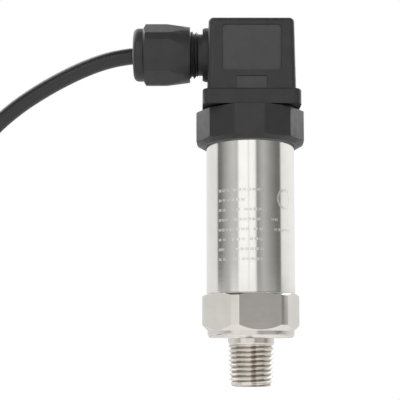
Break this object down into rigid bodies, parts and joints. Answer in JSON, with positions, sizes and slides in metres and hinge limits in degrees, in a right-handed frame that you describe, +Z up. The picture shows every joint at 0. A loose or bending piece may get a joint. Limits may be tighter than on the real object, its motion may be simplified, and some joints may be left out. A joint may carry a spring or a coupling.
{
  "type": "pressure transmitter",
  "caption": "Upright steel pressure transmitter with pipe thread, hexagon, polished tube and an angled black cable plug with gland and lead.",
  "frame": {"origin": "on the main axis, in the lower face of the sealing collar, where the thread starts", "axes": "+Z up along the main axis from the thread to the plug, cable gland towards -X, label panel towards -Y"},
  "size_m": [0.1366, 0.0332, 0.179],
  "materials": {
    "turned_steel": "satin turned stainless steel",
    "polished_steel": "polished stainless steel",
    "black_nylon": "fine spark-eroded moulding",
    "seal_rubber": "matt black rubber",
    "gold_plate": "bright gold plate",
    "green_board": "solder resist",
    "black_epoxy": "moulded epoxy",
    "blue_plastic": "moulded",
    "can_aluminium": "drawn can",
    "tinned_brass": "bright tin plate",
    "plain_brass": "stamped and turned brass",
    "zinc_steel": "zinc plate",
    "red_insulation": "insulation",
    "black_insulation": "insulation",
    "blue_insulation": "insulation",
    "brown_insulation": "insulation",
    "cable_jacket": "smooth black jacket",
    "tie_plastic": "moulded tie"
  },
  "bodies": {
    "root": {"pressure_port": "turned_steel", "body_tube": "polished_steel", "sensor_seal": "seal_rubber", "sensor_capsule": "turned_steel", "sensor_retainer": "turned_steel", "sensor_pins": "gold_plate", "board_carrier": "black_nylon", "circuit_board": "green_board", "amplifier_chip": "black_epoxy", "trimmer_pots": "blue_plastic", "capacitors": "can_aluminium", "lead_wire_1": "red_insulation", "lead_wire_2": "black_insulation", "lead_wire_3": "blue_insulation", "connector_base": "black_nylon", "base_seal": "seal_rubber", "contact_blade_1": "tinned_brass", "contact_blade_2": "tinned_brass", "contact_blade_3": "tinned_brass", "earth_blade": "tinned_brass", "thread_bush": "plain_brass", "clamp_ring": "black_nylon", "plug_gasket": "seal_rubber"},
    "plug": {"plug_housing": "black_nylon", "terminal_block": "black_nylon", "socket_contact_1": "plain_brass", "socket_contact_2": "plain_brass", "socket_contact_3": "plain_brass", "earth_contact": "plain_brass", "terminal_screws": "zinc_steel", "gland_seal": "seal_rubber", "cable_core_1": "brown_insulation", "cable_core_2": "blue_insulation", "cable_core_3": "black_insulation", "cable": "cable_jacket", "cable_hank": "cable_jacket", "hank_tie": "tie_plastic", "end_core_1": "brown_insulation", "end_core_2": "blue_insulation", "end_core_3": "black_insulation"},
    "screw_seat": {"screw_washer": "zinc_steel"},
    "screw": {"fixing_screw": "zinc_steel"},
    "gland_ring": {"gland_washer": "black_nylon"},
    "gland_cap": {"gland_nut": "black_nylon"}
  },
  "joints": [
    {"name": "plug_lift", "type": "slide", "parent": "root", "child": "plug", "axis": [0, 0, 1], "range_m": [0, 0.02]},
    {"name": "screw_rise", "type": "slide", "parent": "plug", "child": "screw_seat", "axis": [0, 0, 1], "range_m": [0, 0.00599]},
    {"name": "screw_turn", "type": "hinge", "parent": "screw_seat", "child": "screw", "pos_m": [0, 0, 0.094], "axis": [0, 0, 1], "range_deg": [0, 4320]},
    {"name": "gland_back_off", "type": "slide", "parent": "plug", "child": "gland_ring", "axis": [-1, 0, 0], "range_m": [0, 0.00563]},
    {"name": "gland_turn", "type": "hinge", "parent": "gland_ring", "child": "gland_cap", "pos_m": [-0.03, 0, 0.0879], "axis": [-1, 0, 0], "range_deg": [0, 1440]}
  ],
  "couplings": [
    {"joint": "screw_turn", "follows": "screw_rise", "rad_per_m": 12566},
    {"joint": "gland_turn", "follows": "gland_back_off", "rad_per_m": 4456.2}
  ]
}
